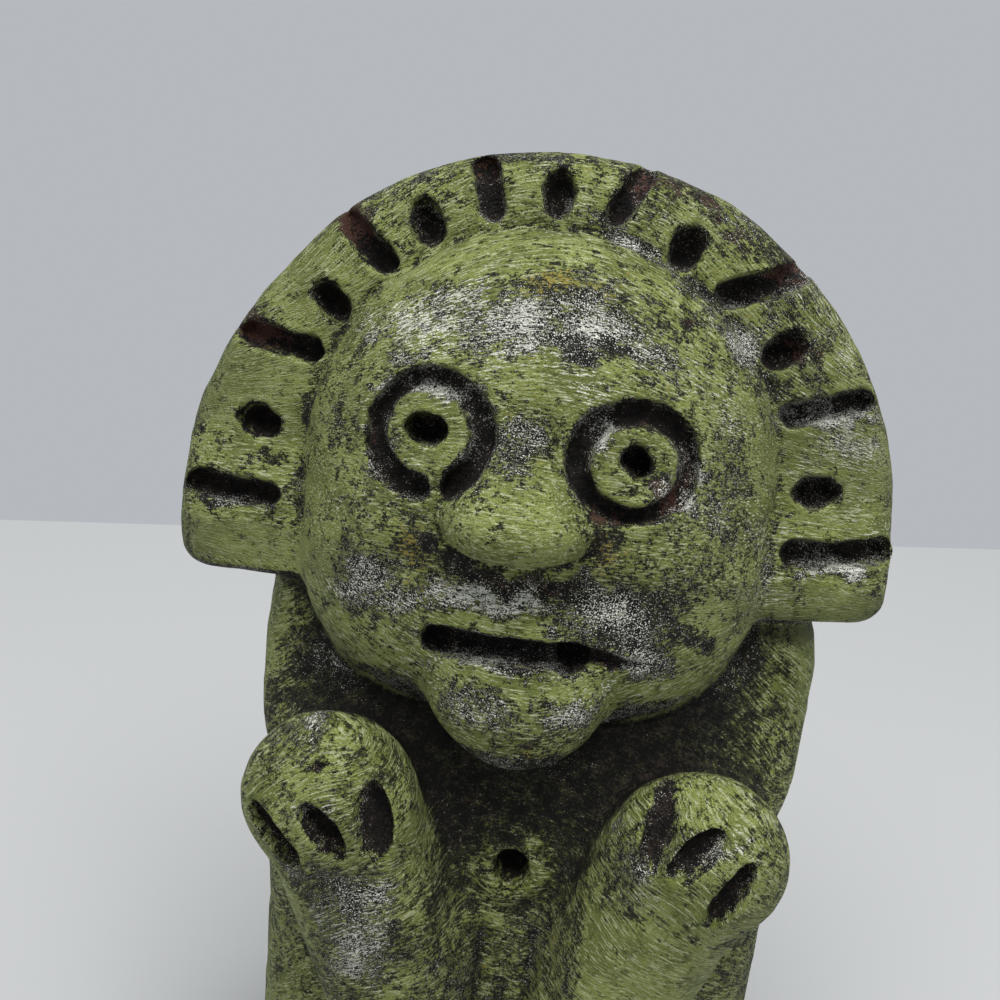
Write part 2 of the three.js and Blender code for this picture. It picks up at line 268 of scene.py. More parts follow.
def face_share(across, up):
    """How far out a point of the face is: the superellipse norm of its offsets over the radii, with
    the power going from 2 above to 3.1 at the jaw."""
    x = np.abs(across - face_across) / face_radius
    y = (up - face_up) / np.where(up < face_up, jaw_radius, face_radius)
    low = np.clip(-y / 0.5, 0, 1)
    power = 2 + 1.1 * low**2 * (3 - 2 * low)
    return (x**power + np.abs(y) ** power) ** (1 / power)


def face_relief(x, y):
    """Hills for brows, forehead, muzzle, cheeks and lips, less hollows between them."""
    brows = sum(1.6 * hill((x - a) / 8.0, (y - b - 2.4) / 7.5) for a, b in eye_places.values())
    forehead = 1.2 * hill((x + 2) / 16, (y - 25) / 4) - 0.9 * hill((x + 1) / 13, (y - 20.5) / 2.4)
    hollow = -2.0 * hill((x + 0.8) / 3.0, (y - 8.5) / 4.5)
    smile = -1.8 * hill(x / 17, (y + 6.4 - 0.006 * x * x) / 2.4)
    muzzle = 3.0 * hill((x + 1) / 10, (y + 14) / 6.5)
    lips = 0.7 * hill((x + 1.5) / 9, (y + 8.9) / 1.3) + 0.9 * hill(x / 8.5, (y + 15.2) / 1.6)
    cheeks = 1.1 * hill((x + 17) / 6, (y + 2) / 5) + 1.1 * hill((x - 14) / 6, (y + 1.5) / 5)
    return brows + forehead + hollow + smile + muzzle + lips + cheeks


def face_height(across, up):
    """The dome, root of one less the share squared, with the modelling faded out at its edge."""
    share = np.minimum(face_share(across, up), 1)
    return (
        face_base + face_depth * np.sqrt(1 - share**2) + face_relief(across, up) * (1 - share**4)
    )


def head():
    """Rings from the tip of the face over its edge to the back of the skull. The front follows the
    face's height and the back is half an ellipsoid."""
    x, y = circle(160)
    swing = np.linspace(0, np.pi, 90)[1:-1, None]
    round_share = np.sin(swing)
    right, rise = face_radius * x, np.where(y < 0, jaw_radius, face_radius) * y
    spread = 1 / face_share(face_across + right, face_up + rise)
    across = face_across + round_share * spread * right
    up = face_up + round_share * spread * rise
    back = face_base + skull_depth * np.cos(swing) * np.ones(len(x))
    out = np.where(np.cos(swing) >= 0, face_height(across, up), back)
    return skin(from_head(across, up, out))


def nose():
    """A ball drawn to a pear: its width and depth shrink by about a third towards the top, its sides
    bulge by a power of 0.8, and it is higher above its middle than below."""
    x, y = circle(72)
    latitude = np.linspace(-np.pi / 2, np.pi / 2, 42)[1:-1, None]
    top = np.maximum(np.sin(latitude), 0)
    bulge = np.cos(latitude) ** 0.8
    middle_out = face_height(-1.66, 0.0) - 1.4
    across = nose_across + 7.9 * (1 - 0.36 * top) * bulge * x
    up = nose_up + np.where(latitude > 0, 6.6, 4.1) * np.sin(latitude) * np.ones(len(x))
    out = middle_out + 8.0 * (1 - 0.35 * top) * bulge * y
    return skin(from_head(across, up, out))


def chin():
    """A ball hung under the lower lip: each half axis times the point of a unit ball."""
    x, y, z = unit_ball()
    return skin(from_head(chin_across + chin_half * x, chin_up + 9.0 * z, chin_out + 7.4 * y))


lump += [head(), nose(), chin()]

# The wet lump: all the forms are pressed into one skin, and the seams between them are smoothed away
# by thumb, most of all between hands and knees.
coarse_face = 0.5
fine_face = 0.3


def clay(points, faces, size):
    """One even skin of square faces, this many millimetres wide, round everything given."""
    mesh = bpy.data.meshes.new("wet_clay")
    mesh.from_pydata((points * unit).tolist(), [], faces)
    thing = bpy.data.objects.new("wet_clay", mesh)
    bpy.context.scene.collection.objects.link(thing)
    fuse = thing.modifiers.new("fuse", "REMESH")
    fuse.mode = "VOXEL"
    fuse.voxel_size = size * unit
    settled = thing.evaluated_get(bpy.context.evaluated_depsgraph_get()).to_mesh()
    points = np.empty(len(settled.vertices) * 3)
    settled.vertices.foreach_get("co", points)
    corners = np.empty(len(settled.loops), np.int64)
    settled.loops.foreach_get("vertex_index", corners)
    bpy.data.objects.remove(thing)
    bpy.data.meshes.remove(mesh)
    return points.reshape(-1, 3) / unit, corners.reshape(-1, 4)


def smoothed(points, quads, amount, passes):
    """Each pass moves every point by its amount, 0 to 1, of the way to the mean of its neighbours."""
    ends = np.concatenate([quads[:, [0, 1]], quads[:, [1, 2]], quads[:, [2, 3]], quads[:, [3, 0]]])
    a, b = np.concatenate([ends, ends[:, ::-1]]).T
    count = np.maximum(np.bincount(a, minlength=len(points)), 1)[:, None]
    for _ in range(passes):
        total = np.stack([np.bincount(a, points[b, i], len(points)) for i in range(3)], -1)
        points = points + np.reshape(amount, (-1, 1)) * (total / count - points)
    return points


def joined(forms):
    """All points in one array and all faces in one list, each form's faces counted on from the last."""
    counts = np.cumsum([0] + [len(points) for points, _ in forms])
    faces = [[i + start for i in face] for (_, rows), start in zip(forms, counts) for face in rows]
    return np.vstack([points for points, _ in forms]), faces


def in_head(points):
    """Across, up and out of each point in the leaning head's axes."""
    offset = points - head_middle
    return offset @ across_axis, offset @ up_axis, offset @ out_axis


def ease(x):
    """0 below 0, 1 above 1 and 3x^2 - 2x^3 between."""
    x = np.clip(x, 0, 1)
    return x * x * (3 - 2 * x)


points, quads = clay(*joined(lump), coarse_face)
across, up, out = in_head(points)
on_head = ease((up + 16) / 6) * ease((points[:, 2] - 58) / 6)
points = smoothed(points, quads, amount=0.4, passes=11)
points = smoothed(points, quads, amount=0.5 * (1 - on_head), passes=14)
body_only = 0.6 * (1 - ease((points[:, 2] - 56) / 8)) * ease((points[:, 2] - 3) / 4)
points = smoothed(points, quads, amount=body_only, passes=60)
points[:, 2] = np.maximum(points[:, 2], 0)

# The stick's marks, pressed while the clay is wet: slots and pits round the headdress, a ring and a
# hole for each eye, the mouth, the navel and the grooves between fingers and toes.
chances = np.random.default_rng(7).uniform(-1, 1, 4096)


def clouds(where, size, seed=0):
    """Smooth noise from -1 to 1: random numbers at the corners of cubes of that size, eased between
    the eight corners round each point."""
    spot = np.asarray(where, float) / size
    cell = np.floor(spot).astype(np.int64)
    part = spot - cell
    part = part * part * (3 - 2 * part)
    total = 0
    for corner in np.ndindex(2, 2, 2):
        x, y, z = (cell + corner).T
        number = chances[(x * 1619 + y * 31337 + z * 6971 + seed * 1013) * 2654435761 % 4096]
        weight = np.prod(np.where(corner, part, 1 - part), axis=1)
        total = total + number * weight
    return total


def dent(distance, half, depth, power, lip=0.22):
    """Depth of a mark at a distance outside its edge, negative inside. The floor falls from the edge
    as depth times the root of 1 - (1 - q)^power, where q is the way in over the half width, and a low
    lip of clay stands outside."""
    way_in = np.clip(-distance / half, 0, 1)
    floor = depth * (1 - (1 - way_in) ** power) ** (1 / power)
    return floor - lip * np.exp(-(((distance - 0.35) / 0.4) ** 2)) * (distance > -0.4)


def oblong(x, y, middle, degrees, half_length, half_width):
    """Distance outside a bar with round ends, that long and wide, turned that far about its middle."""
    turn = np.radians(degrees)
    along = (x - middle[0]) * np.cos(turn) + (y - middle[1]) * np.sin(turn)
    over = (y - middle[1]) * np.cos(turn) - (x - middle[0]) * np.sin(turn)
    beyond = np.maximum(np.abs(along) - (half_length - half_width), 0)
    return np.hypot(beyond, over) - half_width


def oval(x, y, middle, degrees, half_length, half_width):
    """About the distance outside an ellipse: its norm less one, times the half width."""
    turn = np.radians(degrees)
    along = (x - middle[0]) * np.cos(turn) + (y - middle[1]) * np.sin(turn)
    over = (y - middle[1]) * np.cos(turn) - (x - middle[0]) * np.sin(turn)
    return (np.hypot(along / half_length, over / half_width) - 1) * half_width


def bearing_point(degrees, reach):
    """The point that far from the headdress's middle, at a bearing round the face."""
    return reach * np.cos(np.radians(degrees)), reach * np.sin(np.radians(degrees))


slot_half = 1.45
# Each slot: where its inner and outer ends are, as reach and bearing, and its depth.
slots = [
    (28.3, -178, 38.9, 180, 3.0),
    (29.3, 149, 38.6, 154, 3.0),
    (30.6, 127, 38.9, 129, 2.9),
    (31.5, 105, 39.0, 105, 2.9),
    (31.6, 83, 38.7, 79, 2.8),
    (29.6, 58, 38.5, 49, 3.0),
    (27.3, 30, 37.4, 26, 2.9),
    (25.8, -2, 37.4, 1, 3.0),
]
# Each pit: the reach and bearing of its middle.
pits = [(32.0, 167), (32.3, 140), (33.7, 117), (34.4, 93), (32.3, 68), (30.9, 41), (29.3, 12)]


def deepest(*marks):
    """The deepest of some marks at each point, or the tallest of their lips outside them all, with the
    distance to the nearest edge. Each mark is a pair of depth and distance."""
    depth = np.max([mark[0] for mark in marks], 0)
    lips = np.min([mark[0] for mark in marks], 0)
    return np.where(depth > 0.02, depth, lips), np.min([mark[1] for mark in marks], 0)


def headdress_marks(x, y, wander):
    """The eight slots and seven pits."""
    marks = []
    for inner, start, outer, end, deep in slots:
        a, b = np.array(bearing_point(start, inner)), np.array(bearing_point(end, outer))
        along = b - a
        degrees = np.degrees(np.arctan2(along[1], along[0]))
        gap = oblong(x, y, (a + b) / 2, degrees, np.hypot(*along) / 2, slot_half) + wander
        marks.append((dent(gap, slot_half, deep, 2.6), gap))
    for reach, degrees in pits:
        gap = oval(x, y, bearing_point(degrees, reach), degrees, 2.75, 1.75) + wander
        marks.append((dent(gap, 1.7, 3.1, 2.4), gap))
    return deepest(*marks)


def face_marks(x, y, wander):
    """The ringed eyes, with a spur of clay over the groove of the one on the viewer's left, the slit
    of the mouth, the hole at its end, the line under the nose and the scratch beyond the hole."""
    marks = []
    for side, ring_half, pellet_half, pellet_middle, hole_half, hole_middle in (
        (-1, (6.85, 6.9), (4.3, 4.0), (-11.8, 8.7), (2.1, 1.6), (-11.8, 8.9)),
        (1, (6.85, 6.3), (4.25, 3.9), (9.2, 7.5), (1.7, 1.7), (9.3, 8.0)),
    ):
        rim_gap = oval(x, y, eye_places[side], 0, *ring_half) + 0.7 * wander
        pellet_gap = -oval(x, y, pellet_middle, 10 * side, *pellet_half) + 0.5 * wander
        gap = np.maximum(rim_gap, pellet_gap) + 1.5 * hill((x + 10.4) / 0.8, (y - 3.2) / 1.8)
        marks.append((dent(gap, 1.2, 2.5, 2.2, 0.3), gap))
        gap = oval(x, y, hole_middle, 0, *hole_half) + 0.8 * wander
        marks.append((dent(gap, 1.7, 5.0, 4, 0.1), gap))
    gap = oblong(x, y, (-2.3, mouth_up + 0.35), -0.5, 8.4, 1.5) + 0.6 * wander
    marks.append((dent(gap, 1.4, 3.8, 3, 0.3), gap))
    gap = oval(x, y, (4.8, mouth_up + 0.3), 0, 1.95, 1.75) + 0.5 * wander
    marks.append((dent(gap, 1.8, 5.6, 4, 0.2), gap))
    under_nose = np.abs(oval(x, y, (-1.9, 0.3), 0, 8.1, 4.5) + 0.6 * wander) - 0.35
    under_nose = under_nose + 0.5 * np.maximum(y + 0.5, 0)
    marks.append((dent(under_nose, 0.5, 0.9, 2.0, 0.05), under_nose + 0.5))
    taper = np.clip((x - 6.3) / 7.4, 0, 1)
    gap = np.abs(y - mouth_up - 0.7 + 0.13 * (x - 6)) - 1.0 * (1 - taper) ** 0.6
    gap = gap + 6 * (taper <= 0) + 6 * (taper >= 1) + 0.3 * wander
    marks.append((dent(gap, 0.7, 2.4 * (1 - 0.7 * taper), 1.6, 0.2), gap))
    return deepest(*marks)


# Each groove: across, height, how far its top leans to the viewer's left, half sizes and depth.
finger_grooves = [
    (-23.0, 49.3, 43, 3.8, 1.35, 2.8),
    (-18.0, 51.3, 37, 3.8, 1.5, 3.0),
    (-12.9, 52.1, 12, 4.4, 1.6, 2.6),
    (15.8, 54.2, -14, 3.6, 1.4, 3.0),
    (19.8, 53.4, -47, 3.4, 1.45, 2.6),
    (23.6, 49.6, -28, 3.9, 1.45, 2.8),
    (-19.2, 57.4, -80, 0.9, 0.5, 0.8),
    (17.4, 60.6, -80, 0.8, 0.45, 0.7),
]
toe_grooves = [
    (body_shift + side * foot_across + step, 4.4, 0, 3.6, 0.8, 1.6)
    for side in (-1, 1)
    for step in (-3.6, 0, 3.6)
]
navel = (1.0, 42.6)


def body_marks(x, z, wander, grooves):
    """The grooves between fingers or toes, each an oval that leans from the upright."""
    marks = []
    for middle, rise, lean, long_half, wide_half, deep in grooves:
        gap = oval(x, z, (middle, rise), -90 + lean, long_half, wide_half) + 0.5 * wander
        marks.append((dent(gap, wide_half, deep, 2.2), gap))
    return deepest(*marks)


def navel_mark(x, z, wander):
    """A hole in the middle of a low raised ring."""
    gap = oval(x, z, navel, 90, 2.2, 1.85) + 0.5 * wander
    ring = hill((np.hypot(x - navel[0], z - navel[1]) - 3.0) / 1.1, 0)
    return dent(gap, 1.9, 5.0, 4, 0.0) - ring, gap


def cloth_marks(x, z, wander):
    """Four upright folds down and beside the loincloth, faded out above and below."""
    fade = ease((37 - z) / 4) * ease((z - 6) / 6)
    folds = sum(
        depth * hill((x - across - 0.04 * (z - 30) + wander) / 0.8, 0)
        for across, depth in ((-1.8, 1.2), (1.4, 0.5), (4.2, 1.1), (6.4, 0.5))
    )
    return fade * folds


def pressed(points, faces_front):
    """How deep each point is pressed along the head's axis and into the body, and its distance to the
    nearest mark's edge. The head's marks, with the seam round the face, lie in its leaning plane, and
    the body's in the upright plane. Each share of faces_front is 1 where the skin faces that plane."""
    x, z = points[:, 0], points[:, 2]
    across, up, out = in_head(points)
    wander = 0.24 * clouds(points, 2.6, 1) + 0.2 * clouds(points, 0.9, 2)
    dome = face_share(across, up)
    on_slab = faces_front[0] * ease((out + 3.5) / 2) * ease((dome - 0.98) / 0.05) * ease((up + 9) / 2)
    on_face = faces_front[0] * ease((1.02 - dome) / 0.05) * ease((up + 24) / 3) * ease((out - 6) / 2)
    slab_depth, slab_gap = headdress_marks(across, up, wander)
    face_depth, face_gap = face_marks(across, up, wander)
    low = faces_front[1] * ease((-points[:, 1] - 8) / 2) * ease((62 - z) / 2)
    on_hand = low * ease((-points[:, 1] - 14) / 2)
    on_belly = low * ease((7 - np.abs(x - 1)) / 2)
    on_foot = low * ease((12 - z) / 3)
    hand_depth, hand_gap = body_marks(x, z, wander, finger_grooves)
    toe_depth, toe_gap = body_marks(x, z, wander, toe_grooves)
    navel_depth, navel_gap = navel_mark(x, z, wander)
    seam = ease((up + 6) / 4) * (1 - ease((slab_gap + 0.6) / -0.6))
    seam = 0.7 * seam * np.exp(-(((dome - 1.0 + 0.02 * wander) / 0.022) ** 2))
    head_depth = on_slab * slab_depth + on_face * face_depth + faces_front[0] * seam * (out > 2)
    body_depth = on_hand * hand_depth + on_belly * navel_depth + on_foot * toe_depth
    body_depth = body_depth + low * cloth_marks(x, z, wander)
    gaps = [
        np.where(share > 0.4, gap, 5.0)
        for share, gap in (
            (on_slab, slab_gap),
            (on_face, face_gap),
            (on_hand, hand_gap),
            (on_belly, navel_gap),
            (on_foot, toe_gap),
        )
    ]
    return head_depth, body_depth, np.clip(np.min(gaps, 0), -3, 5)


def normals_of(points, quads):
    """Unit normals: the sum, at each point, of the cross products of its faces' diagonals."""
    face = np.cross(points[quads[:, 2]] - points[quads[:, 0]], points[quads[:, 3]] - points[quads[:, 1]])
    total = np.zeros_like(points)
    for i in range(3):
        total[:, i] = np.bincount(quads.ravel(), np.repeat(face[:, i], 4), len(points))
    return total / np.maximum(np.linalg.norm(total, axis=1), 1e-9)[:, None]


points, quads = clay(points, quads.tolist(), fine_face)
points = smoothed(points, quads, amount=0.5, passes=4)
normals = normals_of(points, quads)
faces_front = ease((normals @ out_axis + 0.15) / 0.3), ease(-normals[:, 1] / 0.25)
head_depth, body_depth, _ = pressed(points, faces_front)
points = points - head_depth[:, None] * out_axis + body_depth[:, None] * np.array([0.0, 1.0, 0.0])
points, quads = clay(points, quads.tolist(), fine_face)
points = smoothed(points, quads, amount=0.5, passes=2)

# The handled surface: low waves left by the fingers, and the grain of the coarse clay. It fades out
# towards the flat underside, which was set down on a board.
normals = normals_of(points, quads)
waves = 0.28 * clouds(points, 8, 3) + 0.12 * clouds(points, 3.2, 4) + 0.05 * clouds(points, 1.2, 5)
on_floor = ease((points[:, 2] - 0.5) / 3)
points = points + normals * (waves * on_floor)[:, None]
inside = np.array([0.03, 0.03, 0.0])  # keeps the thinned skin within the solid's box
points = np.clip(points, np.array(cad_low) / unit + inside, np.array(cad_high) / unit - inside)

# The paint, worked out point by point: how much of each spot is covered by the yellow-green paint, by
# the white ground under it, by rust-brown earth and by ochre. Where none is left the clay is black, and
# under the jaw and chin, under the nose and on the chest below the chin some of that black is painted
# shade.
cavity = np.sum((smoothed(points, quads, amount=0.5, passes=40) - points) * normals, 1)
mark_gap = pressed(points, (1.0, 1.0))[2]

# Each patch: across, up, half sizes, a turn in degrees, then green, white, rust and ochre.
head_patches = [
    (30.0, 9.0, 7.0, 14, 0, 0.80, 0.42, 0.0, 0.0),
    (-2.0, 14.8, 11, 2.6, 0, 0.82, 0.40, 0.0, 0.0),
    (-2.0, 0.6, 6.6, 4.4, 0, 0.90, 0.14, 0.0, 0.0),
    (-30.0, 12.0, 7.0, 12, -20, 0.86, 0.12, 0.0, 0.0),
    (-14.0, 25.0, 9.0, 3.0, 25, 0.86, 0.20, 0.0, 0.0),
    (-2.0, 20.6, 13, 2.9, -2, 0.24, 0.58, 0.0, 0.0),
    (3.0, 18.4, 5.0, 1.0, -6, 0.10, 0.20, 0.0, 0.0),
    (-14.0, 19.6, 6.5, 1.5, 14, 0.60, 0.54, 0.0, 0.0),
    (-20.1, 16.8, 1.4, 2.2, -20, 0.40, 0.54, 0.0, 0.0),
    (3.5, 26.0, 3.5, 1.6, 0, 0.45, 0.34, 0.0, 0.0),
    (2.0, 24.0, 5.0, 2.0, 0, 0.36, 0.40, 0.3, 0.4),
    (-1.5, 24.2, 3.0, 1.3, 0, 0.50, 0.25, 0.0, 0.7),
    (8.0, 29.0, 9, 0.8, -28, 0.30, 0.45, 0.0, 0.0),
    (18.3, 21.0, 1.5, 4.5, 30, 0.32, 0.42, 0.0, 0.0),
    (-20.0, -1.5, 4.0, 3.5, 0, 0.58, 0.24, 0.0, 0.0),
    (18.5, 6.0, 3.0, 6.5, 0, 0.50, 0.42, 0.0, 0.0),
    (-2.6, 8.4, 2.4, 4.0, 0, 0.24, 0.56, 0.0, 0.0),
    (-21.2, 8.0, 1.4, 4.5, 0, 0.45, 0.34, 0.0, 0.0),
    (-14.8, 15.9, 1.8, 0.7, 10, 0.35, 0.50, 0.0, 0.0),
    (-24.6, 9.0, 1.0, 8.0, -12, 0.50, 0.10, 0.0, 0.0),
    (-12.3, -3.4, 2.0, 1.9, 0, 0.46, 0.12, 0.3, 0.9),
    (7.3, -1.0, 1.9, 1.8, 0, 0.42, 0.12, 0.3, 0.9),
    (6.6, 1.6, 2.4, 1.1, 0, 0.06, 0.06, 0.9, 0.0),
    (-17.6, -7.6, 3.4, 3.2, 0, 0.12, 0.54, 0.0, 0.0),
    (-12.2, -8.0, 2.6, 3.0, 0, 0.34, 0.40, 0.4, 0.1),
    (-3.0, -7.5, 7.5, 1.4, 0, 0.22, 0.58, 0.0, 0.0),
    # These three patches take the green off along the nose's lower edge: partly rust-brown earth in the
    # groove, partly painted shadow under the nose.
    (-9.6, -3.4, 2.6, 0.8, -38, 0.05, 0.08, 0.3, 0.0),
    (-4.0, -5.2, 4.4, 0.9, -8, 0.00, 0.06, 0.2, 0.0),
    (3.0, -5.0, 4.4, 0.9, 4, 0.00, 0.10, 0.3, 0.0),
    (10.0, -8.4, 5.6, 3.8, 0, 0.08, 0.40, 0.0, 0.0),
    (12.4, -12.8, 3.0, 2.4, 0, 0.20, 0.46, 0.0, 0.0),
    (18.5, -6.5, 3.0, 2.6, 0, 0.66, 0.14, 0.0, 0.0),
    (17.4, -9.6, 0.9, 2.8, 45, 0.10, 0.12, 0.0, 0.0),
    (-3.0, -10.2, 7.5, 0.75, 0, 0.94, 0.06, 0.0, 0.0),
    (-3.0, -14.4, 7.0, 0.5, 0, 0.36, 0.60, 0.0, 0.0),
    (-1.0, -15.8, 9.0, 0.9, 0, 0.86, 0.10, 0.0, 0.0),
    (-3.0, -19.0, 4.6, 2.2, 0, 0.42, 0.50, 0.3, 0.15),
    (6.4, -18.8, 2.8, 2.0, 35, 0.32, 0.66, 0.0, 0.0),
    (1.0, -22.3, 1.4, 0.7, 0, 0.20, 0.10, 0.8, 0.0),
    (2.3, -23.5, 2.0, 1.0, 0, 0.50, 0.10, 0.1, 0.7),
    (8.8, -14.1, 0.9, 0.8, 0, 0.20, 0.10, 0.7, 0.4),
    (-33.0, 17.2, 3.6, 1.7, -20, 0.12, 0.10, 1.0, 0.0),
    (-24.2, 30.0, 2.6, 2.4, -50, 0.14, 0.06, 1.1, 0.0),
    (-10.2, 37.4, 2.2, 1.2, 0, 0.30, 0.08, 0.5, 0.0),
    (8.6, 36.6, 3.0, 1.4, -15, 0.42, 0.12, 0.7, 0.0),
    (13.0, 34.4, 2.4, 1.0, -42, 0.26, 0.10, 0.8, 0.0),
    (16.5, 31.5, 1.8, 2.6, -32, 0.34, 0.20, 0.7, 0.0),
    (26.0, 19.0, 3.6, 1.0, -60, 0.20, 0.10, 0.7, 0.0),
    (22.4, 29.0, 3.2, 1.2, 10, 0.30, 0.12, 0.8, 0.0),
    (13.0, 22.8, 0.6, 0.8, 0, 0.10, 0.05, 1.0, 0.0),
    (27.4, 20.4, 0.9, 1.6, -30, 0.30, 0.10, 0.8, 0.0),
    (-30.4, 3.6, 2.0, 1.1, 20, 0.22, 0.20, 0.0, 0.0),
    (-17.0, 26.8, 1.0, 0.7, 20, 0.10, 0.20, 0.0, 0.0),
    (-26.0, 32.0, 5.0, 1.0, 40, 0.50, 0.12, 0.1, 0.0),
    (23.4, 16.6, 2.4, 1.1, -45, 0.34, 0.14, 0.0, 0.0),
    (24.0, 24.0, 4.0, 2.5, -30, 0.56, 0.26, 0.0, 0.0),
    (28.6, 14.2, 4.4, 0.8, 10, 0.20, 0.85, 0.0, 0.0),
    (31.5, -1.2, 4.0, 0.8, 0, 0.20, 0.70, 0.0, 0.0),
    (-34.0, -1.9, 3.4, 0.6, -5, 0.20, 0.45, 0.0, 0.0),
    (12.9, 4.4, 1.7, 1.6, 45, 0.10, 0.16, 1.0, 0.0),
    (14.8, 7.5, 0.9, 3.4, 0, 0.10, 0.60, 0.4, 0.0),
    (13.6, 4.4, 1.5, 1.0, 40, 0.10, 0.70, 0.3, 0.0),
    (5.0, 11.0, 1.3, 1.1, 50, 0.10, 0.80, 0.0, 0.0),
    (-11.8, 13.4, 4.6, 0.8, 0, 0.10, 0.90, 0.0, 0.0),
    (-6.6, 8.0, 0.9, 3.6, 0, 0.10, 0.62, 0.0, 0.0),
    (-16.4, 5.0, 1.0, 2.4, -30, 0.10, 0.55, 0.0, 0.0),
]
torso_patches = [
    # The first two patches keep the chest under the chin dark: partly bare dark clay, partly painted
    # shade under the chin.
    (1.0, 62.0, 27, 14, 0, 0.04, -0.05, 0.0, 0.0),
    (1.0, 58.0, 22, 12, 0, 0.00, -0.25, 0.0, 0.0),
    (4.5, 54.0, 4.0, 2.0, 0, 0.02, 0.12, 0.0, 0.0),
    (22.0, 66.0, 4.0, 4.0, 0, 0.14, 0.20, 0.0, 0.0),
    (-21.0, 61.0, 4.0, 2.4, 0, 0.10, 0.24, 0.0, 0.0),
    (-25.0, 66.0, 2.5, 6.0, 0, 0.34, 0.10, 0.5, 0.0),
    (1.0, 46.0, 10, 8.5, 0, 0.16, -0.05, 0.15, 0.0),
    (1.0, 30.0, 10, 9.5, 0, 0.50, 0.24, 0.25, 0.1),
    (1.0, 42.6, 4.0, 3.9, 0, 0.66, 0.05, 0.0, 0.0),
    (-31.0, 67.0, 5.4, 13, 0, 0.88, 0.14, 0.1, 0.0),
    (32.0, 66.0, 6.0, 14, 0, 0.78, 0.16, 0.1, 0.0),
]
limb_patches = [
    (-20.0, 55.5, 9.0, 6.5, 0, 0.66, 0.18, 0.1, 0.0),
    (-19.0, 53.4, 6.0, 0.7, 6, 0.60, 0.50, 0.0, 0.0),
    (-22.0, 61.5, 5.0, 2.4, 0, 0.40, 0.46, 0.0, 0.0),
    (-15.5, 44.5, 6.0, 2.8, -15, 0.24, 0.42, 0.0, 0.0),
    (-14.0, 37.5, 4.2, 5.0, 0, 0.38, 0.56, 0.0, 0.0),
    (-23.0, 37.0, 2.6, 9.0, 0, 0.92, 0.08, 0.0, 0.0),
    (-12.0, 28.0, 4.0, 4.0, 0, 0.50, 0.28, 0.0, 0.0),
    (20.0, 56.0, 8.0, 6.0, 0, 0.76, 0.18, 0.1, 0.0),
    (22.0, 54.5, 5.0, 1.0, 3, 0.60, 0.50, 0.0, 0.0),
    (25.5, 61.0, 4.4, 2.2, -28, 0.20, 0.46, 0.0, 0.0),
    (13.0, 60.4, 5.5, 1.2, 6, 0.05, 0.05, 0.8, 0.0),
    (13.6, 50.6, 2.4, 3.0, 0, 0.34, 0.44, 0.0, 0.0),
    (14.5, 46.0, 4.6, 1.6, 0, 0.34, 0.40, 0.0, 0.0),
    (17.0, 37.0, 8.0, 7.5, 0, 0.92, 0.14, 0.0, 0.0),
    (26.0, 42.0, 2.6, 3.4, 0, 0.44, 0.24, 0.0, 0.0),
]


def painted(x, y, start, patches):
    """Four shares at each point: the start values, the same for all or one row for each point,
    painted over patch after patch. Each patch weighs 1.2 times a hill of its half sizes, up to one."""
    shares = start + np.zeros((len(x), 4))
    for middle_x, middle_y, half_x, half_y, lean, *target in patches:
        turn = np.radians(lean)
        along = (x - middle_x) * np.cos(turn) + (y - middle_y) * np.sin(turn)
        over = (y - middle_y) * np.cos(turn) - (x - middle_x) * np.sin(turn)
        weight = np.minimum(1.2 * hill(along / half_x, over / half_y), 1)[:, None]
        shares = shares + weight * (np.array(target) - shares)
    return shares


across, up, out = in_head(points)
chin_share = np.hypot((across - chin_across) / chin_half, (up - chin_up) / 9.2)
on_chin = ease((1.05 - chin_share) / 0.05)
on_jaw = np.maximum(ease((1.03 - face_share(across, up)) / 0.03), on_chin) * ease((out - 1) / 2)
on_limb = ease((-points[:, 1] - 13.5) / 2.5) * ease((np.abs(points[:, 0] - 1) - 7.5) / 2)
on_limb = np.maximum(on_limb, ease((18 - points[:, 2]) / 5))[:, None]
head_share = np.maximum(ease((up + 10.5) / 1.5), on_jaw)[:, None]
stray_x = 1.6 * clouds(points, 2.4, 6) + 1.0 * clouds(points, 0.9, 7)
stray_y = 1.3 * clouds(points, 2.4, 8) + 0.8 * clouds(points, 0.9, 9)
in_front = ease((-points[:, 1] + 2) / 6)[:, None] * (1 - head_share)
in_front = in_front + ease((out + 4) / 3)[:, None] * head_share
plain = np.array([0.76, 0.18, 0.10, 0.0])
rim_worn = ease((np.hypot(across - slab_across, up) + stray_y - 35.8) / 2.5)[:, None]
head_start = np.array([0.72, 0.26, 0.02, 0.0]) + rim_worn * np.array([-0.18, 0.05, 0.12, 0.0])
head_paint = painted(across + stray_x, up + stray_y, head_start, head_patches)
spot = points[:, 0] + stray_x, points[:, 2] + stray_y
torso_paint = painted(*spot, (0.60, 0.18, 0.06, 0.0), torso_patches)
limb_paint = painted(*spot, (0.68, 0.20, 0.06, 0.0), limb_patches)
body_paint = on_limb * limb_paint + (1 - on_limb) * torso_paint
shares = head_share * head_paint + (1 - head_share) * body_paint
shares = in_front * shares + (1 - in_front) * plain
hollow = np.clip(cavity / 0.35, -1, 1)
worn = 0.12 * clouds(points, 6, 10) + 0.14 * clouds(points, 2.0, 11)
# Painted shade: the green is taken off skin that faces down low on the head and above the hands, mostly
# under the jaw and the chin, so that the clay shows black there.
painted_shade_below = ease((-(normals @ up_axis) - 0.6) / 0.25) * ease((-7 - up) / 2) * (points[:, 2] > 50)
shares[:, 0] += worn * ease(shares[:, 0] / 0.3) - 0.3 * np.maximum(hollow, 0) - 0.7 * painted_shade_below
shares[:, 1] += 0.25 * clouds(points, 3, 12) * ease(shares[:, 1] / 0.3) - 0.1 * np.maximum(hollow, 0)

